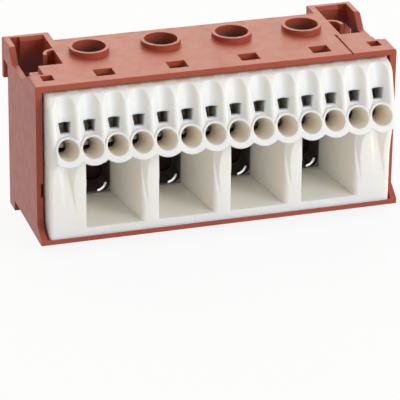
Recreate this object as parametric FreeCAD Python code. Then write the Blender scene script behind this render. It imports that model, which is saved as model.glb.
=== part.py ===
"""Power distribution block: one moulded housing with hooked end pockets, one white
front insert with fourteen spring clamp entries and four large ports, a bent busbar,
fourteen bent strip springs, and four rising cage clamps driven by captive screws.

Millimetres, +Z up, +X along the row of terminals, the wire side faces -Y.
The shapes are drawn with y = 0 at the front edge of the top plate and z = 0 at the
underside of the base plate, and moved at the end so that the origin lies at the
middle of the outline, level with the tips of the feet."""
import FreeCAD, Part
import math
import os

V = FreeCAD.Vector
os.makedirs("parts", exist_ok=True)

# Outside of the block
width = 75.0
height = 32.8
body_depth = 23.2

# Terminal layout: a row of small entries, and a large port under each three of them
pole_count = 14
end_margin = 5.0
pole_pitch = (width - 2 * end_margin) / (pole_count - 1)
port_count = 4
port_pitch = 3 * pole_pitch

# Housing
side_wall = 1.3
back_wall = 1.3
roof = 1.2
base_plate = 1.1
edge_round = 0.5
base_reach = 3.3
flare_height = 2.2
foot_drop = 2.2
foot_length = 4.2
rib_thickness = 1.0
overlap = 0.1

# End pockets with their rail hooks
pocket_length = 1.92 * pole_pitch
pocket_reach = 4.9
pocket_depth = 12.7
pocket_front = body_depth - pocket_depth
pocket_wall = 1.3
hook_height = 8.6
hook_clear = 4.4
rail_slot = 2.8
pad_inset = 2.0
pad_chamfer = 0.65
notch_width = 1.9
notch_length = 4.5
ramp_low = 3.0
ramp_lead = 0.2
ramp_inset = 1.5
ramp_top = pocket_front - notch_length - ramp_lead
ramp_foot = pocket_front + ramp_inset
step_length = 2.7
step_top = body_depth - back_wall
step_foot = step_top - step_length
shelf_thickness = 0.7
shelf_gap = 0.3
boss_radius = 2.6
boss_bore = 1.9
boss_inset = 7.0
boss_y = body_depth - boss_inset
boss_cut = 0.3

# Collars and windows of the roof, and the snap notches of the side walls
collar_radius = 4.1
collar_bore = 3.4
collar_rise = 1.1
window_width = 3.9
window_front = 2.3
window_back = 5.8
tab_window_width = 2.4
tab_window_front = 2.6
tab_window_back = 5.3
tab_window_inset = 3.4
seam_width = 0.45
seam_depth = 0.35
snap_low = 9.0
snap_high = 12.0
snap_length = 1.6
snap_depth = 0.45

# Outline of the front insert, its heights measured down from its top
insert_gap = 0.45
insert_top_gap = 0.4
crown_drop = 0.7
crown_round = 3.0
ridge_lean = 0.3077
ridge_top_y = -2.65
lip_drop = 11.6
lip_round = 0.35
under_lip_drop = 2.6
under_lip_depth = 1.7
waist_drop = 2.2
waist_depth = 0.45
waist_length = 5.6
lower_face_y = -3.4
insert_end_round = 0.75
front_back_y = 0.8

# Flutes, test holes and wire entries of the front insert
flute_depth = 1.5
ridge_share = 0.283
test_hole_half_top = 1.3
test_hole_half_bottom = 0.95
test_hole_drop = 5.15
hole_wall = 0.9
funnel_drop = 9.7
mouth_rim = 0.35
mouth_lean = 0.6055
mouth_bottom_y = -8.1
mouth_bottom_drop = 3.05
scallop_radius = 4.2
tube_back_y = -2.2
tube_length = 4.2
wire_slack = 0.05
groove_drop = 1.6
groove_end_z = 6.6

# Spring cells and large ports of the front insert
cell_wall = 1.0
cell_roof = 1.0
port_pillar = 3.4
port_width_back = 6.8
port_floor = 2.9
port_roof_drop = 2.3
port_edge_round = 1.0
port_wall = 1.2
latch_front = 2.45
latch_back = 3.9
latch_height = 0.3

# Busbar
bar_thickness = 1.5
bar_drop = 4.0
tongue_width = 6.2
tongue_corner = 0.8
bar_end_gap = 1.5
bar_slot = 0.2
bend_radius = 0.8
foot_hole = (2.0, 1.2, 0.9)

# Spring clamps
spring_gap = 0.8
spring_thickness = 0.5
spring_wall_gap = 0.4
spring_loop = 1.5
spring_drop = 2.6
spring_tip_reach = 1.3
spring_tip_gap = 0.15
spring_bend = 0.7
spring_foot_share = 0.416

# Cage clamps
cage_gap = 0.2
cage_rear_gap = 3.2
cage_depth = 6.2
cage_wall = 1.2
cage_floor = 1.4
cage_bottom = 1.6
cage_nut = 2.2
cage_bore_gap = 0.06
cage_bend = 1.6
cage_shoulder = 0.9
cage_lap = 0.3
nut_gap = 0.4
guide_depth = 1.6
tongue_margin = 0.5
step_margin = 0.4
lift_margin = 0.4

# Screws
screw_radius = 2.5
screw_tip_gap = 0.1
screw_tip_chamfer = 0.8
head_radius = 3.1
head_height = 3.0
head_chamfer = 0.4
head_gap = 0.05
flange_thickness = 0.9
flange_gap = 0.3
flange_bore_gap = 0.2
slot_width = 1.0
slot_depth = 1.3
cross_share = 0.55

half = width / 2
inner_half = half - side_wall
roof_under = height - roof
pocket_rear = body_depth + pocket_reach
pocket_floor_under = height - hook_height
back_inner = body_depth - back_wall

insert_half = inner_half - insert_gap
insert_top = roof_under - insert_top_gap
lip_z = insert_top - lip_drop
under_lip_z = lip_z - under_lip_drop
funnel_z = insert_top - funnel_drop
tube_radius = pole_pitch / 2
funnel_mouth = tube_radius - mouth_rim
funnel_bore = 0.48 * tube_radius
mouth_middle_y = mouth_bottom_y + mouth_bottom_drop * mouth_lean
wire_exit_z = funnel_z - (front_back_y - mouth_middle_y) * ridge_lean
port_width_front = port_pitch - port_pillar
port_roof_front = lip_z - port_roof_drop
cell_width = pole_pitch - cell_wall
spring_width = cell_width - spring_gap

cage_rear = back_inner - cage_rear_gap
cage_front = cage_rear - cage_depth
cage_half = port_width_back / 2 + cage_wall
screw_y = (cage_front + cage_rear) / 2
port_depth = cage_front - cage_gap
tongue_end = cage_rear + tongue_margin
bar_step_y = cage_front - step_margin
cell_depth = bar_step_y - 2 * bar_thickness - overlap
spring_back_y = cell_depth - spring_wall_gap
spring_tip_y = front_back_y + spring_tip_reach

bar_top = wire_exit_z - funnel_bore - wire_slack
bar_under = bar_top - bar_thickness
tongue_top = bar_top - bar_drop
tongue_under = tongue_top - bar_thickness
port_roof_back = tongue_under - bar_thickness - overlap
spring_top = insert_top - spring_drop
nut_under = tongue_top + nut_gap
cage_top = nut_under + cage_nut
cage_travel = tongue_under - cage_bottom - cage_floor - cage_bend - lift_margin
flange_under = cage_top + cage_travel + flange_gap
flange_top = flange_under + flange_thickness

pole_xs = [(i - (pole_count - 1) / 2) * pole_pitch for i in range(pole_count)]
port_xs = [(i - (port_count - 1) / 2) * port_pitch for i in range(port_count)]


def block(x0, x1, y0, y1, z0, z1):
    """A box given by its two corners."""
    return Part.makeBox(x1 - x0, y1 - y0, z1 - z0, V(x0, y0, z0))


def side_profile(points, x0, x1):
    """A (y, z) outline drawn in the side view and extruded from x0 to x1."""
    corners = [V(x0, y, z) for y, z in points]
    face = Part.Face(Part.makePolygon(corners + corners[:1]))
    return face.extrude(V(x1 - x0, 0, 0))


def rounded_profile(corners, x0, x1):
    """A (y, z, radius) outline with rounded corners, extruded from x0 to x1."""
    points = [V(x0, y, z) for y, z, radius in corners]
    edges = []
    ends = []
    for i, (y, z, radius) in enumerate(corners):
        point = points[i]
        if radius == 0:
            ends.append((point, point))
            continue
        before = (points[i - 1] - point).normalize()
        after = (points[(i + 1) % len(points)] - point).normalize()
        half_angle = before.getAngle(after) / 2
        reach = radius / math.tan(half_angle)
        inward = (before + after).normalize()
        middle = point + inward * (radius / math.sin(half_angle) - radius)
        start, stop = point + before * reach, point + after * reach
        edges.append(Part.Arc(start, middle, stop).toShape())
        ends.append((start, stop))
    for i, (start, stop) in enumerate(ends):
        following = ends[(i + 1) % len(ends)][0]
        edges.append(Part.LineSegment(stop, following).toShape())
    wire = Part.Wire(Part.__sortEdges__(edges))
    return Part.Face(wire).extrude(V(x1 - x0, 0, 0))


def flat_face(points):
    """A flat face with straight edges."""
    return Part.Face(Part.makePolygon(points + points[:1]))


def flat_sided(points_a, points_b):
    """A solid of flat faces between two outlines of as many corners."""
    faces = [flat_face(points_a), flat_face(points_b)]
    for i in range(len(points_a)):
        j = (i + 1) % len(points_a)
        a, b, c, d = points_a[i], points_a[j], points_b[j], points_b[i]
        normal = (b - a).cross(c - a)
        if abs(normal.dot(d - a)) < 1e-6:
            faces.append(flat_face([a, b, c, d]))
        else:
            faces += [flat_face([a, b, c]), flat_face([a, c, d])]
    solid = Part.makeSolid(Part.makeShell(faces))
    if solid.Volume < 0:
        solid.reverse()
    return solid


def both_ends(shape):
    """The shape at the left end together with its mirror image at the right end."""
    return [shape, shape.mirror(V(0, 0, 0), V(1, 0, 0))]


def rounded_block(x0, x1, y0, y1, z0, z1, radius, chosen):
    """A box with the edges rounded whose middle point passes the chosen test."""
    body = block(x0, x1, y0, y1, z0, z1)
    edges = [e for e in body.Edges if chosen(e.CenterOfMass)]
    return body.makeFillet(radius, edges)


def wall_dip():
    """The low stretch of a side wall's top edge, with its ramp and its steep step."""
    low = height - ramp_low
    above = height + 1
    outline = [(ramp_top, height), (ramp_foot, low), (step_foot, low),
               (step_top, height), (step_top, above), (ramp_top, above)]
    return side_profile(outline, -half - 1, -inner_half)


def pocket_solid():
    """Left end pocket before its opening is cut: walls, floor, hook and foot."""
    inner_x = -half + pocket_length
    front = pocket_front - pocket_wall
    trough = block(-inner_half, inner_x, front, body_depth, pocket_floor_under, roof_under + overlap)
    rear = rounded_block(
        -half, inner_x, body_depth, pocket_rear, height - hook_clear, height, edge_round,
        lambda c: abs(c.z - height) < 0.01 and (abs(c.x + half) < 0.01 or abs(c.y - pocket_rear) < 0.01))
    hook = block(-half, inner_x, pocket_rear - pocket_wall, pocket_rear,
                 pocket_floor_under, height - hook_clear + overlap)
    shelf = block(-inner_half, -inner_half + notch_width + pocket_wall, pocket_front - notch_length - roof,
                  pocket_front, roof_under - shelf_thickness, roof_under + overlap)
    foot = block(-half, -inner_half, body_depth - foot_length, body_depth, -foot_drop, overlap)
    return trough.multiFuse([rear, hook, shelf, foot])


def pocket_opening():
    """Everything that is open inside the left end pocket."""
    inner_x = -half + pocket_length - pocket_wall
    floor = pocket_floor_under + pocket_wall
    well = block(-inner_half, inner_x, pocket_front, body_depth + 0.1, floor, height + 1)
    slot = block(-inner_half, inner_x, body_depth, pocket_rear - pocket_wall,
                 pocket_floor_under - 1, height + 1)
    notch = block(-inner_half, -inner_half + notch_width, pocket_front - notch_length,
                  pocket_front + 0.1, roof_under, height + 1)
    return well.multiFuse([slot, notch])


def pocket_fittings():
    """Latch pad and open half-round boss that stand inside the left end pocket."""
    inner_x = -half + pocket_length - pocket_wall
    rear = pocket_rear - pocket_wall
    pad_front = body_depth + rail_slot
    pad = block(-inner_half + pad_inset, inner_x + overlap, pad_front, rear + overlap,
                pocket_floor_under, height)
    corner = [e for e in pad.Edges
              if abs(e.CenterOfMass.z - height) < 0.01 and abs(e.CenterOfMass.y - pad_front) < 0.01]
    pad = pad.makeChamfer(pad_chamfer, corner)
    tall = hook_height - overlap
    base = V(inner_x, boss_y, pocket_floor_under + overlap)
    boss = Part.makeCylinder(boss_radius, tall, base)
    boss = boss.cut(Part.makeCylinder(boss_bore, tall, base + V(0, 0, pocket_wall)))
    boss = boss.common(block(-inner_half, inner_x + overlap, boss_y - boss_cut,
                             boss_y + boss_radius + 1, pocket_floor_under, height))
    return [pad, boss]


def screw_sleeve(x):
    """Collar and guide sleeve of one screw, to be fused with the roof."""
    return Part.makeCylinder(collar_radius, height + collar_rise - flange_under,
                             V(x, screw_y, flange_under))


def sleeve_bore(x):
    """Head bore from above and shank hole through the flange below."""
    head = Part.makeCylinder(collar_bore, height + collar_rise - flange_top + 1,
                             V(x, screw_y, flange_top))
    shank = Part.makeCylinder(screw_radius + flange_bore_gap, flange_thickness + 2,
                              V(x, screw_y, flange_under - 1))
    return head.fuse(shank)


def cage_guides(x):
    """Two upright ribs on the back wall that keep one cage from turning."""
    guides = []
    for side in (-1, 1):
        near = x + side * (cage_half + cage_gap)
        far = near + side * rib_thickness
        guides.append(block(min(near, far), max(near, far), cage_rear - guide_depth, back_inner + overlap,
                            base_plate - overlap, flange_under - flange_gap))
    return guides


def make_housing():
    """The brick red moulding: roof, base, walls, collars, pockets, hooks and feet."""
    shell = rounded_block(-half, half, 0, body_depth, 0, height, edge_round,
                          lambda c: abs(abs(c.x) - half) < 0.01 and abs(c.z - height) < 0.01)
    cavity = block(-inner_half, inner_half, -1, back_inner, base_plate, roof_under)
    apron = block(-half, half, -base_reach, overlap, 0, base_plate)
    flare = side_profile([(overlap, base_plate - overlap), (-base_reach, base_plate - overlap),
                          (-base_reach, base_plate), (0, base_plate + flare_height),
                          (overlap, base_plate + flare_height)], -half, -inner_half)
    added = [apron] + both_ends(flare)
    added += both_ends(pocket_solid())
    for x in port_xs:
        added.append(screw_sleeve(x))
        added += cage_guides(x)
    rib_front = cage_front + cage_gap
    for i in range(port_count + 1):
        x = (i - port_count / 2) * port_pitch
        top = roof_under if abs(x) < half - pocket_length else pocket_floor_under
        added.append(block(x - rib_thickness / 2, x + rib_thickness / 2, rib_front,
                           back_inner + overlap, base_plate - overlap, top + overlap))
    solid = shell.cut(cavity).multiFuse(added)

    opened = both_ends(wall_dip()) + both_ends(pocket_opening())
    for x in port_xs:
        opened.append(sleeve_bore(x))
        opened.append(block(x - window_width / 2, x + window_width / 2, window_front,
                            window_back, roof_under - 1, height + 1))
    tab_x = -half + tab_window_inset
    opened += both_ends(block(tab_x - tab_window_width / 2, tab_x + tab_window_width / 2,
                              tab_window_front, tab_window_back, roof_under - 1, height + 1))
    seam_x = half - pocket_length + seam_width / 2
    opened.append(block(seam_x - seam_width / 2, seam_x + seam_width / 2, -1,
                        pocket_front + overlap, height - seam_depth, height + 1))
    opened += both_ends(block(-inner_half - snap_depth, -inner_half + overlap, -overlap, snap_length,
                              snap_low, snap_high))
    solid = solid.cut(Part.Compound(opened))
    fittings = []
    for fitting in pocket_fittings():
        fittings += both_ends(fitting)
    return solid.multiFuse(fittings).removeSplitter()


def ridge_y(z):
    """Front of the insert's ridges at one height."""
    return ridge_top_y - (insert_top - z) * ridge_lean


def insert_outline():
    """Side view of the insert as (y, z, radius): crown, ridge slope, lip, waist and lower face."""
    crown_z = insert_top - crown_drop
    lip_y = ridge_y(lip_z)
    waist_z = under_lip_z - waist_drop
    return [(0, insert_top, 1.0), (ridge_y(crown_z), crown_z, crown_round), (lip_y, lip_z, lip_round),
            (lip_y + under_lip_depth, under_lip_z, lip_round), (lower_face_y - waist_depth, waist_z, 1.0),
            (lower_face_y, under_lip_z - waist_length, 1.0), (lower_face_y, base_plate, 0),
            (front_back_y, base_plate, 0), (front_back_y, insert_top, 0)]


def flute_waves():
    """What lies in front of the waved upper face: one long solid along the ridge slope."""
    slope = V(0, ridge_lean, 1).normalize()
    outward = V(0, -1, ridge_lean).normalize()
    start_z = funnel_z - mouth_rim
    origin = V(0, ridge_y(start_z), start_z)
    angle = 2 * math.atan(flute_depth / (pole_pitch / 2))
    radii = (pole_pitch / 2) / math.sin(angle)
    ridge_radius = ridge_share * radii
    flank_x = ridge_radius * math.sin(angle)
    flank_v = -ridge_radius * (1 - math.cos(angle))

    def at(u, v):
        return origin + V(u, 0, 0) + outward * v

    edges = []
    for x in pole_xs:
        left, right = x - pole_pitch / 2, x + pole_pitch / 2
        edges.append(Part.Arc(at(left + flank_x, flank_v), at(x, -flute_depth),
                              at(right - flank_x, flank_v)).toShape())
    tilt = angle / 2
    half_x, half_v = ridge_radius * math.sin(tilt), -ridge_radius * (1 - math.cos(tilt))
    first, last = pole_xs[0] - pole_pitch / 2, pole_xs[-1] + pole_pitch / 2
    edges.append(Part.Arc(at(first, 0), at(first + half_x, half_v), at(first + flank_x, flank_v)).toShape())
    edges.append(Part.Arc(at(last - flank_x, flank_v), at(last - half_x, half_v), at(last, 0)).toShape())
    for x in pole_xs[:-1]:
        ridge = x + pole_pitch / 2
        edges.append(Part.Arc(at(ridge - flank_x, flank_v), at(ridge, 0),
                              at(ridge + flank_x, flank_v)).toShape())
    ahead = 2.0
    rim = [at(last, 0), at(last, ahead), at(first, ahead), at(first, 0)]
    edges += [Part.LineSegment(rim[i], rim[i + 1]).toShape() for i in range(3)]
    face = Part.Face(Part.Wire(Part.__sortEdges__(edges)))
    return face.extrude(slope * (insert_top - start_z + 1))


def wire_tube(x):
    """Outside of one wire entry: a tube square to the ridge slope and a broad scalloped lip."""
    inward = V(0, 1, -ridge_lean).normalize()
    middle = V(x, mouth_middle_y, funnel_z)
    tube = Part.makeCylinder(tube_radius, 2 * tube_length, middle - inward * tube_length, inward)
    low = funnel_z - mouth_bottom_drop
    front = mouth_bottom_y - 1
    lip = Part.makeCylinder(scallop_radius, tube_back_y - front, V(x, front, low + scallop_radius), V(0, 1, 0))
    span = tube_radius + 0.02
    lip = lip.common(block(x - span, x + span, front, tube_back_y, low - 1, funnel_z + mouth_rim))
    reach = 3 * tube_radius
    ahead = front - reach
    removed = side_profile([(mouth_middle_y + mouth_lean * reach, funnel_z + reach),
                            (mouth_middle_y - mouth_lean * reach, funnel_z - reach),
                            (ahead, funnel_z - reach), (ahead, funnel_z + reach)],
                           x - 2 * span, x + 2 * span)
    return tube.fuse(lip).cut(removed)


def lower_groove(x):
    """The tapered hollow below one wire entry, as deep as the lip above it stands out."""
    side = tube_radius - overlap * 4
    ahead = mouth_bottom_y - 1
    ridge = 0.2
    groove_top = lip_z - groove_drop
    top_front = ridge_y(lip_z) + under_lip_depth
    top_back = ridge_y(lip_z) + 3.9
    shallow = lower_face_y - 0.01

    def corners(front, back, z):
        return [V(x - side, ahead, z), V(x + side, ahead, z), V(x + side, front, z),
                V(x + ridge, back, z), V(x - ridge, back, z), V(x - side, front, z)]

    return flat_sided(corners(shallow, shallow, groove_end_z), corners(top_front, top_back, groove_top))


def test_hole(x):
    """A test opening through the thin wall above one wire entry, and the hollow behind it."""
    low = funnel_z + 0.9 * tube_radius
    high = insert_top - test_hole_drop

    def corners(y):
        return [V(x - test_hole_half_bottom, y, low), V(x + test_hole_half_bottom, y, low),
                V(x + test_hole_half_top, y, high), V(x - test_hole_half_top, y, high)]

    def behind_wall(z):
        return ridge_y(z) + flute_depth + hole_wall

    top, foot = high + mouth_rim, low - hole_wall
    hollow = side_profile([(behind_wall(foot), foot), (front_back_y + overlap, foot - 1.5),
                           (front_back_y + overlap, top), (behind_wall(top), top)],
                          x - cell_width / 2 + 0.4, x + cell_width / 2 - 0.4)
    return flat_sided(corners(mouth_middle_y), corners(front_back_y)).fuse(hollow)


def funnel_cut(x):
    """Wire entry: a long cone square to the ridge slope."""
    inward = V(0, 1, -ridge_lean).normalize()
    length = (front_back_y - mouth_middle_y) / inward.y
    taper = (funnel_mouth - funnel_bore) / length
    ahead, behind = 1.5, 1.0
    return Part.makeCone(funnel_mouth + taper * ahead, funnel_bore - taper * behind, length + ahead + behind,
                         V(x, mouth_middle_y, funnel_z) - inward * ahead, inward)


def port_cut(x):
    """One large port, wide and tall at the front and narrowed towards its cage."""
    wide = port_width_front / 2
    narrow = port_width_back / 2
    y0, y1 = lower_face_y, port_depth

    def frame(half_width, y, top):
        return [V(x - half_width, y, port_floor), V(x + half_width, y, port_floor),
                V(x + half_width, y, top), V(x - half_width, y, top)]

    guide = flat_sided(frame(wide, y0, port_roof_front), frame(narrow, y1, port_roof_back))
    mouth = block(x - wide, x + wide, mouth_bottom_y - 2, y0, port_floor, port_roof_front)
    corner = V(x + wide, y0, port_floor)
    along_wall = V(narrow - wide, y1 - y0, 0).normalize()
    along_front = V(1, 0, 0)
    half_angle = along_wall.getAngle(along_front) / 2
    inward = (along_wall + along_front).normalize()
    reach = port_edge_round / math.tan(half_angle)
    on_front, on_wall = corner + along_front * reach, corner + along_wall * reach
    middle = corner + inward * (port_edge_round / math.sin(half_angle) - port_edge_round)
    outside = corner - V(overlap, overlap, 0)
    rounding = [Part.Arc(on_wall, middle, on_front).toShape(),
                Part.LineSegment(on_front, on_front - V(0, overlap, 0)).toShape(),
                Part.LineSegment(on_front - V(0, overlap, 0), outside).toShape(),
                Part.LineSegment(outside, on_wall - V(overlap, 0, 0)).toShape(),
                Part.LineSegment(on_wall - V(overlap, 0, 0), on_wall).toShape()]
    edge_top = under_lip_z - waist_length - port_floor
    soft_edge = Part.Face(Part.Wire(rounding)).extrude(V(0, 0, edge_top))
    return guide.multiFuse([mouth, soft_edge])


def latch_nose(x):
    """A low nose on top of the insert that catches the front edge of a roof window."""
    crest = roof_under + latch_height
    half_width = window_width / 2 - 0.4
    return side_profile([(latch_front, insert_top - overlap), (latch_back, insert_top - overlap),
                         (latch_back, crest), (latch_back - 0.8, crest), (latch_front, roof_under)],
                        x - half_width, x + half_width)


def make_insert():
    """The white front moulding with its entries, test holes, ports and spring cells."""
    body = rounded_profile(insert_outline(), -insert_half, insert_half)
    ends = [e for e in body.Edges
            if abs(abs(e.CenterOfMass.x) - insert_half) < 0.01
            and e.CenterOfMass.y < front_back_y - 0.01 and e.CenterOfMass.z > base_plate + 0.01]
    body = body.makeFillet(insert_end_round, ends)
    body = body.cut(flute_waves())
    body = body.multiFuse([wire_tube(x) for x in pole_xs])
    front = front_back_y - overlap
    cell_block = block(-insert_half, insert_half, front, cell_depth, port_roof_front - overlap, insert_top)
    deck = block(-insert_half, insert_half, front, cell_depth, base_plate, port_roof_front)
    sockets = block(-insert_half, insert_half, cell_depth - overlap, port_depth, base_plate,
                    tongue_under - overlap)
    body = body.multiFuse([cell_block, deck, sockets])

    cuts = []
    for x in pole_xs:
        cuts += [lower_groove(x), funnel_cut(x), test_hole(x)]
        cuts.append(block(x - cell_width / 2, x + cell_width / 2, front_back_y, cell_depth + 1,
                          bar_top, insert_top - cell_roof))
    cuts += [port_cut(x) for x in port_xs]
    bar_half = insert_half - bar_end_gap + bar_slot
    cuts.append(block(-bar_half, bar_half, front, cell_depth + 1, bar_under, bar_top + overlap / 2))
    shelf_x = -inner_half + notch_width + pocket_wall + shelf_gap
    shelf_y = pocket_front - notch_length - roof - shelf_gap
    cuts += both_ends(block(-insert_half - 1, shelf_x, shelf_y, cell_depth + 1,
                            roof_under - shelf_thickness - shelf_gap, insert_top + 1))
    body = body.cut(Part.Compound(cuts))
    body = body.cut(Part.Compound(rear_hollows()))
    return body.multiFuse([latch_nose(x) for x in port_xs]).removeSplitter()


def rear_hollows():
    """Wedge shaped hollows from behind, between neighbouring ports and at the ends."""
    hollows = []
    low, high = port_floor, port_roof_back - cell_wall / 2
    taper = (port_width_front - port_width_back) / 2 / (port_depth - lower_face_y)
    start = front_back_y + 1.5
    for i in range(port_count - 1):
        x = (port_xs[i] + port_xs[i + 1]) / 2
        rear_half = (port_pitch - port_width_back) / 2 - port_wall
        front_half = rear_half - taper * (port_depth - start)
        hollows.append(flat_sided(
            [V(x - front_half, start, low), V(x + front_half, start, low),
             V(x + front_half, start, high), V(x - front_half, start, high)],
            [V(x - rear_half, port_depth + 1, low), V(x + rear_half, port_depth + 1, low),
             V(x + rear_half, port_depth + 1, high), V(x - rear_half, port_depth + 1, high)]))
    for side in (-1, 1):
        outer = side * (insert_half - port_wall)
        port_side = abs(port_xs[0]) + port_width_back / 2 + port_wall
        inner_front = side * (port_side + taper * (port_depth - start))
        inner_rear = side * (port_side - taper)
        hollows.append(flat_sided(
            [V(inner_front, start, low), V(outer, start, low), V(outer, start, high),
             V(inner_front, start, high)],
            [V(inner_rear, port_depth + 1, low), V(outer, port_depth + 1, low),
             V(outer, port_depth + 1, high), V(inner_rear, port_depth + 1, high)]))
    return hollows


def make_busbar():
    """One bent strip: the upper flange under the springs, the web and four tongues."""
    bar_half = insert_half - bar_end_gap
    web_front = bar_step_y - bar_thickness
    outer = bend_radius + bar_thickness
    strip = side_profile([(front_back_y, bar_under), (web_front, bar_under),
                          (web_front, tongue_under), (bar_step_y, tongue_under),
                          (bar_step_y, bar_top), (front_back_y, bar_top)], -bar_half, bar_half)
    edges = [e for e in strip.Edges
             if abs(e.CenterOfMass.y - bar_step_y) < 0.01 and abs(e.CenterOfMass.z - bar_top) < 0.01]
    strip = strip.makeFillet(outer, edges)
    edges = [e for e in strip.Edges
             if abs(e.CenterOfMass.y - web_front) < 0.01 and abs(e.CenterOfMass.z - bar_under) < 0.01]
    strip = strip.makeFillet(bend_radius, edges)
    tongues = []
    for x in port_xs:
        tongue = block(x - tongue_width / 2, x + tongue_width / 2, web_front, tongue_end,
                       tongue_under, tongue_top)
        middle_z = (tongue_top + tongue_under) / 2
        edges = [e for e in tongue.Edges
                 if abs(e.CenterOfMass.y - tongue_end) < 0.01 and abs(e.CenterOfMass.z - middle_z) < 0.01]
        tongues.append(tongue.makeFillet(tongue_corner, edges))
    front, back, side = foot_hole
    holes = [block(x - side, x + side, spring_back_y - front, spring_back_y - back,
                   bar_under - 1, bar_top + 1) for x in pole_xs]
    return strip.multiFuse(tongues).cut(Part.Compound(holes)).removeSplitter()


def make_spring(x):
    """Bent strip spring: foot on the busbar, upright, loop and sloping clamping leg."""
    t = spring_thickness / 2
    x0 = x - spring_width / 2
    back = spring_back_y - t
    low = bar_top + t
    loop_z = spring_top - spring_loop - t
    bend_y, bend_z = back - spring_bend, low + spring_bend
    centre_y = back - spring_loop
    tip_y, tip_z = spring_tip_y, low + spring_tip_gap
    reach = math.hypot(tip_y - centre_y, tip_z - loop_z)
    leave = math.atan2(tip_z - loop_z, tip_y - centre_y) - math.acos(spring_loop / reach) + 2 * math.pi
    foot_y = back - spring_foot_share * (back - tip_y)

    def on_circle(y, z, radius, angle):
        return V(x0, y + radius * math.cos(angle), z + radius * math.sin(angle))

    def turn(y, z, radius, start, stop):
        return Part.Arc(on_circle(y, z, radius, start), on_circle(y, z, radius, (start + stop) / 2),
                        on_circle(y, z, radius, stop)).toShape()

    down = -math.pi / 2
    outer_low = turn(bend_y, bend_z, spring_bend + t, down, 0)
    outer_high = turn(centre_y, loop_z, spring_loop + t, 0, leave)
    inner_high = turn(centre_y, loop_z, spring_loop - t, leave, 0)
    inner_low = turn(bend_y, bend_z, spring_bend - t, 0, down)
    tip_out, tip_in = on_circle(tip_y, tip_z, t, leave), on_circle(tip_y, tip_z, -t, leave)
    foot_out, foot_in = V(x0, foot_y, low - t), V(x0, foot_y, low + t)
    straight = [(foot_out, on_circle(bend_y, bend_z, spring_bend + t, down)),
                (V(x0, back + t, bend_z), V(x0, back + t, loop_z)),
                (on_circle(centre_y, loop_z, spring_loop + t, leave), tip_out), (tip_out, tip_in),
                (tip_in, on_circle(centre_y, loop_z, spring_loop - t, leave)),
                (V(x0, back - t, loop_z), V(x0, back - t, bend_z)),
                (on_circle(bend_y, bend_z, spring_bend - t, down), foot_in), (foot_in, foot_out)]
    edges = [outer_low, outer_high, inner_high, inner_low]
    edges += [Part.LineSegment(start, stop).toShape() for start, stop in straight]
    return Part.Face(Part.Wire(Part.__sortEdges__(edges))).extrude(V(spring_width, 0, 0))


def rounded_frame(x, half_width, low, high, y0, y1, radius):
    """A block whose two lower lengthwise edges are rounded."""
    return rounded_block(x - half_width, x + half_width, y0, y1, low, high, radius,
                         lambda c: abs(c.z - low) < 0.01 and abs(abs(c.x - x) - half_width) < 0.01)


def make_cage(x):
    """Rising cage: a bent steel loop with a thick threaded top, at its lowest place."""
    outside = rounded_frame(x, cage_half, cage_bottom, cage_top, cage_front, cage_rear,
                            cage_bend + cage_floor - lift_margin)
    shoulders = [e for e in outside.Edges
                 if abs(e.CenterOfMass.z - cage_top) < 0.01
                 and abs(abs(e.CenterOfMass.x - x) - cage_half) < 0.01]
    outside = outside.makeFillet(cage_shoulder, shoulders)
    inside = rounded_frame(x, cage_half - cage_wall, cage_bottom + cage_floor, nut_under,
                           cage_front - 1, cage_rear + 1, cage_bend)
    bore = Part.makeCylinder(screw_radius + cage_bore_gap, cage_nut + 2, V(x, screw_y, nut_under - 1))
    lap = block(x - cage_lap / 2, x + cage_lap / 2, cage_front - 1, cage_rear + 1,
                nut_under + cage_nut / 2, cage_top + 1)
    return outside.cut(inside).cut(bore).cut(lap)


def make_screw(x):
    """Captive clamp screw: slotted cylinder head, shank and blunt tip."""
    tip = tongue_top + screw_tip_gap
    seat = flange_top + head_gap
    crown = seat + head_height
    outline = [V(0, 0, tip), V(screw_radius - screw_tip_chamfer, 0, tip),
               V(screw_radius, 0, tip + screw_tip_chamfer), V(screw_radius, 0, seat),
               V(head_radius, 0, seat), V(head_radius, 0, crown - head_chamfer),
               V(head_radius - head_chamfer, 0, crown), V(0, 0, crown)]
    body = flat_face(outline).revolve(V(0, 0, 0), V(0, 0, 1), 360)
    slot = block(-head_radius - 1, head_radius + 1, -slot_width / 2, slot_width / 2,
                 crown - slot_depth, crown + 1)
    cross_half = head_radius * cross_share
    cross = block(-slot_width / 2, slot_width / 2, -cross_half, cross_half, crown - slot_depth, crown + 1)
    body = body.cut(slot.fuse(cross))
    body.translate(V(x, screw_y, 0))
    return body


def export(name, shape):
    """Move one piece into the part's frame and write it."""
    middle_y = (mouth_bottom_y + pocket_rear) / 2
    placed = shape.copy()
    placed.translate(V(0, -middle_y, foot_drop))
    solids = placed.Solids
    print(name, "solids", len(solids), "valid", placed.isValid(), "volume", round(placed.Volume, 2))
    single = solids[0] if len(solids) == 1 else placed
    single.exportStep(os.path.join("parts", name + ".step"))


export("housing", make_housing())
export("front_insert", make_insert())
export("busbar", make_busbar())
for number, pole_x in enumerate(pole_xs, 1):
    export("wire_spring_%02d" % number, make_spring(pole_x))
for number, port_x in enumerate(port_xs, 1):
    export("clamp_cage_%d" % number, make_cage(port_x))
    export("clamp_screw_%d" % number, make_screw(port_x))
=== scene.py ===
# %% [markdown]
# # A power distribution block in its studio
# The block has a brick red housing with four screw shafts, and a white front insert with
# fourteen small wire entries in a row above four large ports. The engineering model is
# loaded first and stays as it is: every finish and every added piece is fitted to it.
# Blender counts in metres here, and +Z is up. Lengths are written as 5 * mm, because a
# reader knows the real block in millimetres.

# %% Load the engineering model
import math

import bpy
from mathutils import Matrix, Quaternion, Vector


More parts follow.
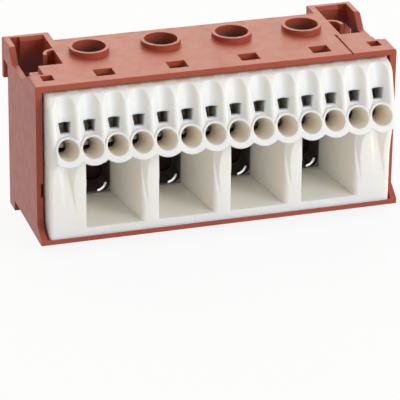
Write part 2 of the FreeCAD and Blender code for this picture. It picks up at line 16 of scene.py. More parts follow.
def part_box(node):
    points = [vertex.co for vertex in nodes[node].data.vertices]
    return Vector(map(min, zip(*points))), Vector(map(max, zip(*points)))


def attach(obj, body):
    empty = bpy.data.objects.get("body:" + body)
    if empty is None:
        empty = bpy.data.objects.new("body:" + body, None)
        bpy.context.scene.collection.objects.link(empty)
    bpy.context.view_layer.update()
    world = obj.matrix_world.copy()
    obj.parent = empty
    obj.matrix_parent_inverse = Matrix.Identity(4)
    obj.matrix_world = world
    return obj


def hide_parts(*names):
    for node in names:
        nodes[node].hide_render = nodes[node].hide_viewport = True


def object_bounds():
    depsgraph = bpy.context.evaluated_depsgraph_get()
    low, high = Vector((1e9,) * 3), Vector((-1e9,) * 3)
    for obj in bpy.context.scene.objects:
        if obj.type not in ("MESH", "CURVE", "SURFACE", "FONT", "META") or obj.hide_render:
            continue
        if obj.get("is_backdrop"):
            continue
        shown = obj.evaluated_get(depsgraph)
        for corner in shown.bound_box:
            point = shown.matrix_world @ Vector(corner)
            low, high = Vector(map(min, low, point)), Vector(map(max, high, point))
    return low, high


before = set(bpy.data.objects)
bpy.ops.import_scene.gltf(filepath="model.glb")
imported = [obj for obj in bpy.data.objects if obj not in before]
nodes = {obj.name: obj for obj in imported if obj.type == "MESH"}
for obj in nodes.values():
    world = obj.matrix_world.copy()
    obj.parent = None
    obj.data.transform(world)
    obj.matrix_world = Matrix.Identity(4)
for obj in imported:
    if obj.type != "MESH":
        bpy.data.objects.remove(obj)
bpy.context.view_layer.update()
bpy.ops.object.select_all(action="DESELECT")
mm = 0.001

# %% [markdown]
# ## Where things are
# The wire side faces -Y. The row of wire entries has a pitch of 5 mm and the ports one of
# 15 mm, so the places of all repeated details are worked out from these two pitches. The
# entries point back and down into the block, square to the fluted slope above them, and
# their mouths lie in a face that leans further. Both leans are angles from the upright.

# %% Named places
pole_count = 14
pole_pitch = 5 * mm
port_count = 4
port_pitch = 15 * mm
port_numbers = range(1, port_count + 1)
port_xs = [(k - (port_count + 1) / 2) * port_pitch for k in port_numbers]
first_port_x = port_xs[0]
entry_y, entry_z = -16.253 * mm, 23.70 * mm
slope_y, slope_z = -12.65 * mm, 33.4 * mm
entry_lean = math.atan(0.3077)
mouth_lean = math.atan(0.6055)
screw_y = 5.6 * mm
print("middles of the ports in mm:", [round(port_x / mm, 1) for port_x in port_xs])

# %% [markdown]
# ## The camera
# The picture was taken from a little to the left and from above, with a long lens, so the
# upright edges stay almost parallel. A camera can be pushed about until it fits, but three
# angles say plainly where it looks: the yaw, the elevation and a small roll. The distance
# together with the lens then gives the size in the frame.

# %% View direction
camera_yaw = math.radians(17.37)
camera_rise = math.radians(24.94)
camera_roll = math.radians(0.68)
forward = Vector((math.sin(camera_yaw) * math.cos(camera_rise),
                  math.cos(camera_yaw) * math.cos(camera_rise),
                  -math.sin(camera_rise)))
print("camera looks along", [round(part, 3) for part in forward])

# %% Camera
camera_data = bpy.data.cameras.new("studio_camera")
camera_data.lens = 259.0
camera_data.sensor_width = 36.0
camera_data.clip_start = 0.01
camera_data.clip_end = 10.0
camera = bpy.data.objects.new("studio_camera", camera_data)
bpy.context.scene.collection.objects.link(camera)
camera.rotation_mode = "QUATERNION"
camera.rotation_quaternion = forward.to_track_quat("-Z", "Y") @ Quaternion((0, 0, 1), camera_roll)
camera.location = Vector((-160.914, -512.690, 251.546)) * mm
bpy.context.scene.camera = camera
print("camera stands off by", round(camera.location.length / mm), "mm")

# %% [markdown]
# ## The red plastic of the housing
# The housing looks like a glass filled moulding in a full brick red. Seen at a flat angle, it
# turns paler, because its satin skin mirrors the white room. A paler colour would be wrong
# from every other side, so the shader does it: a moderate roughness, with a low specular
# level so that faces seen straight on keep their colour. Each finish here is one material
# built from nodes, and starts with the same helper.

# %% Start the housing finish
def new_finish(name, roughness, metallic=0.0):
    """A material with its shader, and the node that gives places on the piece."""
    finish = bpy.data.materials.new(name)
    finish.use_nodes = True
    shader = finish.node_tree.nodes["Principled BSDF"]
    shader.inputs["Roughness"].default_value = roughness
    shader.inputs["Metallic"].default_value = metallic
    place = finish.node_tree.nodes.new("ShaderNodeTexCoord")
    return finish, shader, place


housing_red, shader, place = new_finish("housing_red", roughness=0.42)
shader.inputs["Specular IOR Level"].default_value = 0.36
print("housing roughness:", round(shader.inputs["Roughness"].default_value, 2))

# %% [markdown]
# ## Colour that drifts
# No moulding has quite one colour. An image could show that, but it would have to be painted
# and laid over the surface, and noise needs neither. It reads Object coordinates, which on
# these pieces are plain metres in the block's own frame, so a pattern stays in place when a
# piece moves. A node or an outlet knows its own tree as id_data, so a helper only needs the
# node that it starts from. The noise seldom leaves the span from noise_low to noise_high.

# %% Noise
noise_low, noise_high = 0.3, 0.7


def noise(place, scale, detail=3.0, stretch=(1, 1, 1)):
    """Noise in features per metre; a stretch under 1 draws it out along that axis."""
    tree = place.id_data
    mapping = tree.nodes.new("ShaderNodeMapping")
    mapping.inputs["Scale"].default_value = stretch
    texture = tree.nodes.new("ShaderNodeTexNoise")
    texture.inputs["Scale"].default_value = scale
    texture.inputs["Detail"].default_value = detail
    tree.links.new(place.outputs["Object"], mapping.inputs["Vector"])
    tree.links.new(mapping.outputs["Vector"], texture.inputs["Vector"])
    return texture


features_per_metre = 90
housing_tone = noise(place, features_per_metre, detail=2.0, stretch=(1, 1, 0.4))


# %% Two tones of red
def blend_colours(shader, texture, dark, light):
    """The base colour drifts between two tones with the noise."""
    tree = shader.id_data
    ramp = tree.nodes.new("ShaderNodeValToRGB")
    for stop, share, tone in zip(ramp.color_ramp.elements, (noise_low, noise_high), (dark, light)):
        stop.position = share
        stop.color = (*tone, 1)
    tree.links.new(texture.outputs["Fac"], ramp.inputs["Fac"])
    tree.links.new(ramp.outputs["Color"], shader.inputs["Base Color"])


blend_colours(shader, housing_tone, dark=(0.370, 0.066, 0.035), light=(0.400, 0.076, 0.043))
print("nodes so far:", len(housing_red.node_tree.nodes))

# %% [markdown]
# ## Edges that catch the light
# A mould leaves its edges a little round, and such an edge catches the light. The engineering
# model stays as it is, so its edges can't be bevelled. A Bevel node softens only the normals.
# Where the softened normal turns away from the true one there must be an edge, and that
# place gets a paler red as a painted highlight. edge_starts and edge_full are the cosines
# between the two normals.

# %% Soft edges
edge_starts, edge_full = 0.995, 0.90
edge_samples = 6


def soft_edges(shader, radius):
    """Normals over edges that look rounded by a small radius, and where such an edge is."""
    tree = shader.id_data
    rounded = tree.nodes.new("ShaderNodeBevel")
    rounded.samples = edge_samples
    rounded.inputs["Radius"].default_value = radius
    flat = tree.nodes.new("ShaderNodeNewGeometry")
    same = tree.nodes.new("ShaderNodeVectorMath")
    same.operation = "DOT_PRODUCT"
    tree.links.new(rounded.outputs["Normal"], same.inputs[0])
    tree.links.new(flat.outputs["Normal"], same.inputs[1])
    edge = tree.nodes.new("ShaderNodeMapRange")
    edge.inputs["From Min"].default_value = edge_starts
    edge.inputs["From Max"].default_value = edge_full
    tree.links.new(same.outputs["Value"], edge.inputs["Value"])
    return rounded.outputs["Normal"], edge.outputs["Result"]


rounded, edge = soft_edges(shader, radius=0.2 * mm)
print("an edge begins to show at", round(math.degrees(math.acos(edge_starts)), 1), "degrees")


# %% Painted highlight on the edges
def maths(operation, first, second=0.0, third=0.0):
    """One arithmetic node on an outlet; the other values are numbers or outlets."""
    tree = first.id_data
    node = tree.nodes.new("ShaderNodeMath")
    node.operation = operation
    for socket, value in zip(node.inputs, (first, second, third)):
        if isinstance(value, (int, float)):
            socket.default_value = value
        else:
            tree.links.new(value, socket)
    return node.outputs["Value"]


def tint(shader, mask, colour, strength):
    """Blends the base colour towards another one where the mask is high."""
    tree = shader.id_data
    mix = tree.nodes.new("ShaderNodeMix")
    mix.data_type = "RGBA"
    mix.inputs["B"].default_value = (*colour, 1)
    tree.links.new(shader.inputs["Base Color"].links[0].from_socket, mix.inputs["A"])
    tree.links.new(maths("MULTIPLY", mask, strength), mix.inputs["Factor"])
    tree.links.new(mix.outputs["Result"], shader.inputs["Base Color"])


# painted highlight: a paler red where the rounded edges catch the light
tint(shader, edge, (0.52, 0.11, 0.055), strength=0.45)
print("nodes so far:", len(housing_red.node_tree.nodes))

# %% [markdown]
# ## Masks from places
# Little light reaches deep into some parts of the housing, so there the colour is darkened
# as painted shade. Colours painted on the vertices would need a vertex at every border, and
# the model has few. So a mask is worked out from the place of each point. It is 1 inside some
# part of the block and 0 outside, and each of its limits is a pair of lengths: where the mask
# starts to fade in, and where it is full. The block is nearly the same left and right, so x
# is counted from the middle.

# %% Lengths on the housing
def axes(place):
    """The x, y and z of a point on the piece, as three outlets."""
    split = place.id_data.nodes.new("ShaderNodeSeparateXYZ")
    place.id_data.links.new(place.outputs["Object"], split.inputs["Vector"])
    return split.outputs["X"], split.outputs["Y"], split.outputs["Z"]


def length_of(first, second):
    """The length of the side across a right angle, from the two sides beside it."""
    return maths("SQRT", maths("ADD", maths("MULTIPLY", first, first), maths("MULTIPLY", second, second)))


def from_nearest(value, pitch):
    """How far a point is from the nearest middle, with middles halfway between whole pitches."""
    return maths("SUBTRACT", maths("WRAP", value, pitch, 0.0), pitch / 2)


x, y, z = axes(place)
from_middle = maths("ABSOLUTE", x)
across = from_nearest(from_middle, port_pitch)
from_screw = length_of(across, maths("SUBTRACT", y, screw_y))
print("screws stand", screw_y / mm, "mm behind the origin")


# %% Masks, and painted shade in the screw shafts
def fade(value, start, stop):
    """0 where the value is at its start, 1 where it has reached its stop, smooth between."""
    tree = value.id_data
    node = tree.nodes.new("ShaderNodeMapRange")
    node.interpolation_type = "SMOOTHSTEP"
    node.inputs["From Min"].default_value = start
    node.inputs["From Max"].default_value = stop
    tree.links.new(value, node.inputs["Value"])
    return node.outputs["Result"]


def region(*limits):
    """A mask that is high where every value lies within its limit."""
    masks = [fade(value, *limit) for value, limit in limits]
    product = masks[0]
    for mask in masks[1:]:
        product = maths("MULTIPLY", product, mask)
    return product


shaft_wall = (3.7 * mm, 3.5 * mm)
shaft_row = (31 * mm, 30 * mm)
shaft_rim = (35.4 * mm, 33.8 * mm)
shaft_foot = (8.0 * mm, 9.0 * mm)
# painted shade: the walls of each screw shaft are darkened below its rim, where little light reaches
shaft_painted_shade = region((from_screw, shaft_wall), (from_middle, shaft_row), (z, shaft_rim), (z, shaft_foot))
tint(shader, shaft_painted_shade, (0.165, 0.095, 0.082), strength=0.95)
print("shafts are dark below", round(shaft_rim[1] / mm, 1), "mm")

# %% [markdown]
# ## Painted shade in the end pockets and the chamber behind the cages
# These get painted shade in the same way, browner with depth. The limit on the outer skin
# keeps the painted shade off the end walls, which stand in full light.

# %% Painted shade in the pockets and the chamber
outer_skin = (36.35 * mm, 36.25 * mm)

pocket_side = (29.0 * mm, 29.15 * mm)
pocket_face = (0.3 * mm, 0.45 * mm)
pocket_back = (16.95 * mm, 16.85 * mm)
pocket_rim = (34.2 * mm, 28.5 * mm)
pocket_foot = (26.5 * mm, 26.7 * mm)
# painted shade: the end pockets turn darker and browner inside
pocket_painted_shade = region((from_middle, pocket_side), (from_middle, outer_skin), (y, pocket_face),
                   (y, pocket_back), (z, pocket_rim), (z, pocket_foot))
tint(shader, pocket_painted_shade, (0.155, 0.085, 0.085), strength=0.9)

chamber_front = (9.0 * mm, 10.5 * mm)
chamber_back = (12.1 * mm, 11.95 * mm)
chamber_roof = (33.0 * mm, 31.0 * mm)
chamber_foot = (3.2 * mm, 3.3 * mm)
# painted shade: the chamber behind the cages is darkened
chamber_painted_shade = region((y, chamber_front), (y, chamber_back), (from_middle, outer_skin),
                    (z, chamber_roof), (z, chamber_foot))
tint(shader, chamber_painted_shade, (0.13, 0.09, 0.085), strength=0.9)
print("pockets begin", round(pocket_side[1] / mm, 1), "mm from the middle")

# %% [markdown]
# ## Marks of the ejector pins
# On the back, the round ends of the pins that pushed the housing out of its mould left marks
# less than a tenth of a millimetre deep. Geometry that shallow would cost many faces, so a
# Bump node draws them. They stand in rows, one on each side of every port.

# %% Ejector marks
def relief(height, depth, normal):
    """A node that raises normals by a height from 0 to 1, with its depth in metres."""
    tree = height.id_data
    bump = tree.nodes.new("ShaderNodeBump")
    bump.inputs["Distance"].default_value = depth
    tree.links.new(height, bump.inputs["Height"])
    tree.links.new(normal, bump.inputs["Normal"])
    return bump


pin_aside = 4.2 * mm
pin_pitch, pin_foot = 13 * mm, 7.5 * mm
pin_rim = (1.75 * mm, 1.6 * mm)
pin_face = (12.5 * mm, 12.9 * mm)
pin_row = (30 * mm, 29 * mm)
from_pin = length_of(maths("SUBTRACT", maths("ABSOLUTE", across), pin_aside),
                     maths("SUBTRACT", maths("WRAP", z, pin_pitch, 0.0), pin_foot))
pin_mark = region((from_pin, pin_rim), (y, pin_face), (from_middle, pin_row))
rounded = relief(pin_mark, 0.08 * mm, rounded).outputs["Normal"]
print("ejector marks in a row:", 2 * port_count)

# %% [markdown]
# ## Gloss and grain
# The gloss drifts over a moulding as the colour does, at a middle scale, and the mould leaves
# a fine grain. Both come from noise again, and the finish then goes on the housing.

# %% Gloss, grain and the housing dressed
grain_strength = 0.6


def vary_roughness(shader, texture, smooth, rough):
    """The gloss drifts between two values with the noise."""
    tree = shader.id_data
    spread = tree.nodes.new("ShaderNodeMapRange")
    spread.inputs["From Min"].default_value = noise_low
    spread.inputs["From Max"].default_value = noise_high
    spread.inputs["To Min"].default_value = smooth
    spread.inputs["To Max"].default_value = rough
    tree.links.new(texture.outputs["Fac"], spread.inputs["Value"])
    tree.links.new(spread.outputs["Result"], shader.inputs["Roughness"])


def add_grain(shader, texture, depth, normal):
    """Fine relief of the surface, on top of the softened edges."""
    bump = relief(texture.outputs["Fac"], depth, normal)
    bump.inputs["Strength"].default_value = grain_strength
    shader.id_data.links.new(bump.outputs["Normal"], shader.inputs["Normal"])


def dress(node_names, finish):
    """Puts a finish on nodes of the engineering model."""
    for name in node_names:
        slots = nodes[name].data.materials
        slots.clear()
        slots.append(finish)


vary_roughness(shader, noise(place, scale=400), smooth=0.36, rough=0.46)
add_grain(shader, noise(place, scale=5200, detail=2.0), 0.02 * mm, rounded)
dress(["housing"], housing_red)
print("housing finish:", len(housing_red.node_tree.nodes), "nodes")

# %% [markdown]
# ## The white plastic of the insert
# The insert is moulded in a warm white. Its walls are thin and let some light through, so
# the shaded faces glow softly instead of turning grey. A paler or a glowing colour would
# wash out the lit faces too, so it is subsurface scattering, with a reach of one to two and
# a half millimetres that is longer for red than for blue.

# %% Start the insert finish
insert_white, shader, place = new_finish("insert_white", roughness=0.38)
insert_tone = noise(place, scale=120, detail=2.0)
blend_colours(shader, insert_tone, dark=(0.895, 0.885, 0.86), light=(0.93, 0.92, 0.90))
shader.inputs["Subsurface Weight"].default_value = 0.7
shader.inputs["Subsurface Radius"].default_value = (1.0, 0.72, 0.42)
shader.inputs["Subsurface Scale"].default_value = 2.5 * mm
print("nodes so far:", len(insert_white.node_tree.nodes))

# %% [markdown]
# ## Ivory inside the ports and the small holes
# Deep inside the ports, the wire entries and the test holes above them, the light has
# bounced from wall to wall and looks like ivory. The three masks follow the real openings:
# a depth behind the front for the ports, a radius about its own axis for each entry, and a
# depth behind the fluted slope for each test hole.

# %% Ports
x, y, z = axes(place)
port_depth = (-13.8 * mm, -11.0 * mm)
port_roof = (17.5 * mm, 16.5 * mm)
in_port = region((y, port_depth), (z, port_roof))
tint(shader, in_port, (0.955, 0.885, 0.79), strength=0.8)
print("ports are ivory behind y =", round(port_depth[1] / mm, 1), "mm")

# %% Wire entries
across = from_nearest(x, pole_pitch)
rise = maths("SUBTRACT", z, entry_z)
reach = maths("SUBTRACT", y, entry_y)
aside = maths("ADD", maths("MULTIPLY", reach, math.sin(entry_lean)),
              maths("MULTIPLY", rise, math.cos(entry_lean)))
depth = maths("SUBTRACT", maths("MULTIPLY", reach, math.cos(mouth_lean)),
              maths("MULTIPLY", rise, math.sin(mouth_lean)))
funnel_wall = (2.3 * mm, 2.15 * mm)
funnel_depth = (0.0, 1.6 * mm)
funnel_row = (34.95 * mm, 34.75 * mm)
in_entry = region((length_of(across, aside), funnel_wall), (depth, funnel_depth),
                  (maths("ABSOLUTE", x), funnel_row))
tint(shader, in_entry, (0.96, 0.865, 0.755), strength=0.85)
print("entries point down by", round(math.degrees(entry_lean), 1), "degrees")

# %% Test holes
behind_slope = maths("MULTIPLY_ADD", maths("SUBTRACT", z, slope_z), -math.tan(entry_lean),
                     maths("SUBTRACT", y, slope_y))
test_depth = (1.9 * mm, 2.4 * mm)
test_foot = (24.6 * mm, 25.0 * mm)
test_side = (1.45 * mm, 1.35 * mm)
in_test = region((behind_slope, test_depth), (z, test_foot), (maths("ABSOLUTE", across), test_side))
tint(shader, in_test, (0.84, 0.68, 0.50), strength=0.85)
print("test holes are", round(2 * test_side[0] / mm, 1), "mm wide")

# %% Gloss, grain and the insert dressed
rounded, _ = soft_edges(shader, radius=0.25 * mm)
vary_roughness(shader, noise(place, scale=500), smooth=0.34, rough=0.44)
add_grain(shader, noise(place, scale=4200, detail=2.0), 0.012 * mm, rounded)
dress(["front_insert"], insert_white)
print("insert finish:", len(insert_white.node_tree.nodes), "nodes")

# %% [markdown]
# ## Metals
# The cages are dark plated steel and the screws are zinc plated, both with fine upright
# lines. The springs are bare steel with marks along the strip, and the busbar is brass that
# has dulled in patches and was rolled along its length. They differ in tone, gloss and the
# run of their lines, so one helper makes them all from the helpers above. Only the cages
# are less than fully metallic, because dark plating mirrors less than bare metal.

# %% A helper for metals
lines_along_x = (0.15, 1, 1)
lines_along_z = (1, 1, 0.15)
lines_along_strip = (1, 0.15, 0.15)


def metal(name, dark, light, smooth, rough, lines, metallic=1.0):
    """A metal with patches of tone, fine lines along one axis, and brighter worn edges."""
    finish, shader, place = new_finish(name, rough, metallic)
    blend_colours(shader, noise(place, scale=260, detail=4.0), dark, light)
    scratches = noise(place, scale=2600, stretch=lines)
    vary_roughness(shader, scratches, smooth, rough)
    rounded, edge = soft_edges(shader, radius=0.1 * mm)
    tint(shader, edge, tuple(min(1.0, 1.5 * part) for part in light), strength=0.6)
    add_grain(shader, scratches, 0.01 * mm, rounded)
    return finish


cage_steel = metal("cage_steel", dark=(0.26, 0.25, 0.245), light=(0.34, 0.33, 0.32),
                   smooth=0.30, rough=0.44, lines=lines_along_z, metallic=0.7)
dress([f"clamp_cage_{k}" for k in port_numbers], cage_steel)
print("cage finish:", len(cage_steel.node_tree.nodes), "nodes")

# %% Screws, springs and busbar
screw_steel = metal("screw_steel", dark=(0.36, 0.35, 0.34), light=(0.47, 0.46, 0.45),
                    smooth=0.26, rough=0.40, lines=lines_along_z)
spring_steel = metal("spring_steel", dark=(0.42, 0.40, 0.38), light=(0.52, 0.50, 0.48),
                     smooth=0.20, rough=0.32, lines=lines_along_strip)
busbar_brass = metal("busbar_brass", dark=(0.52, 0.36, 0.15), light=(0.66, 0.47, 0.21),
                     smooth=0.24, rough=0.42, lines=lines_along_x)
dress([f"wire_spring_{k:02d}" for k in range(1, pole_count + 1)], spring_steel)
dress(["busbar"], busbar_brass)
print("finishes:", len(bpy.data.materials))

# %% [markdown]
# ## Painted highlights at the corners of the cages
# In the lower corner of each cage the strip is bent round, and its bare edge catches the
# light as a small crescent. A bent tube would show a bright line of even width, and the real
# one swells in the middle. So the corner is a flat block, hollowed by a cylinder, and a wide
# cone cut leaves a shallow slope on its front. That slope is turned a little up and to the
# left, so it mirrors the white room to the camera. It also gets a near white copy of the
# steel, a painted highlight, while the rest of the block gets a near black copy, painted
# shade, so that the slope alone is bright. The block sits in the steel of the cage and rises
# with it.

# %% Sizes and finishes of a corner
short_lines = (1, 1, 0.3)
# painted shade: a near black copy of the cage steel for the corner block
painted_shade_steel = metal("painted_shade_steel", dark=(0.03, 0.028, 0.028), light=(0.055, 0.052, 0.05),
                   smooth=0.35, rough=0.5, lines=short_lines)
# painted highlight: a near white, glossy copy of the cage steel for the slope
painted_highlight_steel = metal("painted_highlight_steel", dark=(0.88, 0.87, 0.85), light=(0.96, 0.95, 0.93),
                     smooth=0.10, rough=0.18, lines=short_lines)
corner_size = Vector((2.8, 0.68, 2.06)) * mm
corner_aside, corner_front, corner_z = 2.2 * mm, 2.52 * mm, 6.02 * mm
hollow_aside, hollow_z = 0.6 * mm, 7.4 * mm
hollow_radius, hollow_length = 1.75 * mm, 4 * mm
slope_reach, slope_depth = 0.42 * mm, 0.13 * mm
print("a corner is", round(corner_size.x / mm, 2), "mm wide")


# %% The block and the tools that cut it
def new_block(size, middle):
    """A block of a given size around a middle, with its place in its mesh."""
    bpy.ops.mesh.primitive_cube_add(size=1, location=middle)
    block = bpy.context.object
    bpy.ops.transform.resize(value=size, center_override=block.location)
    bpy.ops.object.transform_apply(location=True, rotation=True, scale=True)
    return block


round_sides = 96
lying = (math.pi / 2, 0, 0)
hollow_middle = (first_port_x + hollow_aside, corner_front, hollow_z)
bpy.ops.object.select_all(action="DESELECT")
bpy.ops.mesh.primitive_cylinder_add(vertices=round_sides, radius=hollow_radius,
                                    depth=hollow_length, rotation=lying, location=hollow_middle)
hollow = bpy.context.object
bpy.ops.mesh.primitive_cone_add(vertices=round_sides, radius1=hollow_radius,
                                radius2=hollow_radius + 2 * slope_reach,
                                depth=2 * slope_depth, rotation=lying, location=hollow_middle)
slope = bpy.context.object
corner_middle = (first_port_x + corner_aside, corner_front + corner_size.y / 2, corner_z)
corner = new_block(corner_size, corner_middle)
print("hollow, slope and block:", [len(piece.data.polygons) for piece in (hollow, slope, corner)])


# %% Cut the corner
def cut_away(piece, tool):
    """Takes the tool's shape out of the piece, applies it and deletes the tool."""
    bpy.ops.object.select_all(action="DESELECT")
    bpy.context.view_layer.objects.active = piece
    cut = piece.modifiers.new("cut", "BOOLEAN")
    cut.operation = "DIFFERENCE"
    cut.object = tool
    bpy.ops.object.modifier_apply(modifier=cut.name)
    bpy.data.objects.remove(tool)


for finish in (painted_shade_steel, painted_highlight_steel):
    slope.data.materials.append(finish)
    corner.data.materials.append(finish)
for face in slope.data.polygons:
    face.material_index = 1
cut_away(corner, hollow)
cut_away(corner, slope)
print("faces of a corner:", len(corner.data.polygons))

# %% [markdown]
# ## One corner at each port
# The corner is modelled once, at the first port, and copied along the row. Copies could share
# one mesh, but each gets its own, because each piece keeps its place in its mesh and moves
# with its own cage.

# %% Copy the corner along the row
def copies_along_row(piece, name):
    """The piece and its copies, one for each port, named after it with the port's number."""
    row = [piece]
    for port_x in port_xs[1:]:
        bpy.ops.object.select_all(action="DESELECT")
        piece.select_set(True)
        bpy.context.view_layer.objects.active = piece
        bpy.ops.object.duplicate()
        bpy.ops.transform.translate(value=(port_x - first_port_x, 0, 0))
        bpy.ops.object.transform_apply(location=True, rotation=True, scale=True)
        row.append(bpy.context.object)
    for k, copy in zip(port_numbers, row):
        copy.name = f"{name}_{k}"
    return row


corners = copies_along_row(corner, "cage_corner")
for k, corner in zip(port_numbers, corners):
    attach(corner, f"cage_{k}")
print("corners:", [corner.name for corner in corners])

# %% [markdown]
# ## The clamp screws with their thread
# The engineering model has a plain shank, and a bump in the finish would leave its outline
# straight. So the screw is drawn again with its thread: a disc is extruded upwards in small
# steps, and the rim of each step is then pulled in by a triangle wave that climbs one pitch
# per turn. The head gets its slot and a short cross slot, cut by two blocks.

# %% Outline of a screw
thread_pitch = 0.8 * mm
rings_per_turn = 4
shank_radius, thread_depth = 2.5 * mm, 0.4 * mm
head_radius, head_height, head_chamfer = 3.1 * mm, 3.0 * mm, 0.4 * mm
tip_chamfer = 0.8 * mm
low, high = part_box("clamp_screw_1")
seat = high.z - head_height
bottom = low.z + tip_chamfer
rings = int((seat - bottom) / (thread_pitch / rings_per_turn))
tip = [(low.z, shank_radius - tip_chamfer)]
shank = [(bottom + (seat - bottom) * i / rings, shank_radius) for i in range(rings + 1)]
head = [(seat, head_radius), (high.z - head_chamfer, head_radius), (high.z, head_radius - head_chamfer)]
outline = tip + shank + head
print("turns of thread:", round((seat - bottom) / thread_pitch, 1))

# %% Extrude the screw from its tip
screw_sides = 36
level, radius = outline[0]
bpy.ops.object.select_all(action="DESELECT")
bpy.ops.mesh.primitive_circle_add(vertices=screw_sides, radius=radius, fill_type="NGON",
                                  location=(first_port_x, screw_y, level))
screw = bpy.context.object
bpy.ops.object.transform_apply(location=True, rotation=True, scale=True)
bpy.ops.object.mode_set(mode="EDIT")
bpy.ops.mesh.select_all(action="SELECT")
for next_level, next_radius in outline[1:]:
    bpy.ops.mesh.extrude_region_move(TRANSFORM_OT_translate={"value": (0, 0, next_level - level)})
    share = next_radius / radius
    if share != 1.0:
        middle = (first_port_x, screw_y, next_level)
        bpy.ops.transform.resize(value=(share, share, 1), center_override=middle)
    level, radius = next_level, next_radius
bpy.ops.mesh.select_all(action="SELECT")
bpy.ops.mesh.normals_make_consistent(inside=False)
bpy.ops.object.mode_set(mode="OBJECT")
print("screw height in mm:", round(screw.dimensions.z / mm, 2))

# %% Thread
tolerance = 0.001 * mm
for vertex in screw.data.vertices:
    if bottom - tolerance < vertex.co.z < seat - tolerance:
        spoke = Vector((vertex.co.x - first_port_x, vertex.co.y - screw_y))
        climbed = vertex.co.z / thread_pitch - math.atan2(spoke.y, spoke.x) / (2 * math.pi)
        dip = thread_depth * abs(2 * (climbed % 1.0) - 1)
        spoke *= (shank_radius - dip) / spoke.length
        vertex.co.x, vertex.co.y = first_port_x + spoke.x, screw_y + spoke.y
print("thread depth in mm:", thread_depth / mm)

# %% Slots of the head
slot_width, slot_depth = 1.0 * mm, 1.3 * mm
slot_length, cross_length = 7.2 * mm, 3.41 * mm
smooth_angle = math.radians(28)
for x_size, y_size in ((slot_length, slot_width), (slot_width, cross_length)):
    cut_away(screw, new_block((x_size, y_size, 2 * slot_depth), (first_port_x, screw_y, high.z)))
screw.select_set(True)
bpy.ops.object.shade_smooth_by_angle(angle=smooth_angle)
screw.data.materials.clear()
screw.data.materials.append(screw_steel)
print("faces of a screw:", len(screw.data.polygons))

# %% Copy the screw along the row
screws = copies_along_row(screw, "threaded_screw")
for k, screw in zip(port_numbers, screws):
    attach(screw, f"screw_{k}")
    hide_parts(f"clamp_screw_{k}")
print("screws:", [screw.name for screw in screws])

# %% [markdown]
# ## The floor
# The floor shows the camera mostly its own near white, so it looks pale without more light
# on the block, and the rest of it keeps the shadow. More lamps would whiten the floor too,
# but they would wash out the block. The Light Path node tells which rays come straight from
# the camera or by way of a mirroring surface.

# %% Rays that see the floor
def seen_by(tree, *kinds):
    """An outlet that is 1 for rays of these kinds and 0 for all others."""
    rays = tree.nodes.new("ShaderNodeLightPath")
    outlet = rays.outputs[kinds[0]]
    for kind in kinds[1:]:
        either = tree.nodes.new("ShaderNodeMath")
        either.operation = "MAXIMUM"
        tree.links.new(outlet, either.inputs[0])
        tree.links.new(rays.outputs[kind], either.inputs[1])
        outlet = either.outputs["Value"]
    return outlet


def mixed(tree, share, first, second, end):
    """Mixes two shaders by a share and hands the result to the end of the tree."""
    mix = tree.nodes.new("ShaderNodeMixShader")
    tree.links.new(share, mix.inputs["Fac"])
    tree.links.new(first, mix.inputs[1])
    tree.links.new(second, mix.inputs[2])
    tree.links.new(mix.outputs["Shader"], tree.nodes[end].inputs["Surface"])


floor_white = bpy.data.materials.new("floor_white")
floor_white.use_nodes = True
tree = floor_white.node_tree
seen = seen_by(tree, "Is Camera Ray", "Is Glossy Ray")
print("floor nodes:", len(tree.nodes))

# %% Floor
own_white_share = 0.90
shade = tree.nodes["Principled BSDF"]
shade.inputs["Base Color"].default_value = (0.86, 0.86, 0.86, 1)
shade.inputs["Roughness"].default_value = 0.9
shade.inputs["Specular IOR Level"].default_value = 0.0
glow = tree.nodes.new("ShaderNodeEmission")
glow.inputs["Color"].default_value = (1, 1, 1, 1)
mixed(tree, maths("MULTIPLY", seen, own_white_share), shade.outputs["BSDF"],
      glow.outputs["Emission"], "Material Output")
bpy.ops.mesh.primitive_plane_add(size=4, location=(0, 0, 0))
floor = bpy.context.object
floor.name = "floor"
floor.data.materials.append(floor_white)
floor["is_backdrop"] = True
print("floor width in m:", round(floor.dimensions.x, 2))

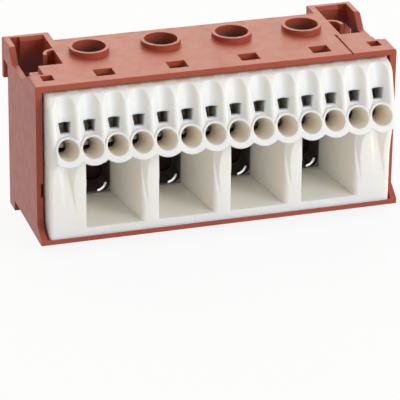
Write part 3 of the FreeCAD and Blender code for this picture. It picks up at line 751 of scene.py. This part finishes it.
# %% [markdown]
# ## The lamps
# A soft lamp shines from the right front, a little above the block, and lights the white
# face. A larger warm one behind and well above brightens the roof. Both are square, because
# the soft boxes of a studio are, and they are aimed at the block's middle.

# %% Lamps
block_middle = Vector((0, 0, 18)) * mm


def soft_lamp(name, place, size, power, colour=(1, 1, 1)):
    """A square lamp that faces the block."""
    data = bpy.data.lights.new(name, "AREA")
    data.shape = "SQUARE"
    data.size = size
    data.energy = power
    data.color = colour
    lamp = bpy.data.objects.new(name, data)
    lamp.location = place
    lamp.rotation_mode = "QUATERNION"
    lamp.rotation_quaternion = (block_middle - Vector(place)).to_track_quat("-Z", "Y")
    bpy.context.scene.collection.objects.link(lamp)
    return lamp


key_lamp = soft_lamp("key_lamp", place=(0.82, -0.98, 0.48), size=0.7, power=9.6)
back_lamp = soft_lamp("back_lamp", place=(0.1, 1.1, 0.85), size=1.8, power=19.5, colour=(1.0, 0.94, 0.74))
print("lamp distances in m:", [round(lamp.location.length, 2) for lamp in (key_lamp, back_lamp)])

# %% [markdown]
# ## The room
# The room is an even white. It lights the block at less than half strength, and where the
# camera or a mirroring surface looks into it, it is fully white. A real room could be built
# of walls, but the world's own background gives the same even light in less time.

# %% Room
world = bpy.data.worlds.new("studio_room")
world.use_nodes = True
bpy.context.scene.world = world
tree = world.node_tree
room = tree.nodes["Background"]
room.inputs["Color"].default_value = (1, 1, 1, 1)
room.inputs["Strength"].default_value = 0.43
white = tree.nodes.new("ShaderNodeBackground")
white.inputs["Color"].default_value = (1, 1, 1, 1)
white.inputs["Strength"].default_value = 1.0
mixed(tree, seen_by(tree, "Is Camera Ray", "Is Glossy Ray", "Is Transmission Ray"),
      room.outputs["Background"], white.outputs["Background"], "World Output")
print("room strength:", round(room.inputs["Strength"].default_value, 2))

# %% [markdown]
# ## Finish
# The colours are shown as they are written, and the outer size of the dressed block is printed.

# %% Set the colours and print the size
bpy.context.scene.view_settings.view_transform = "Standard"
low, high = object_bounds()
print("dressed size in mm:", [round(side / mm, 2) for side in high - low])
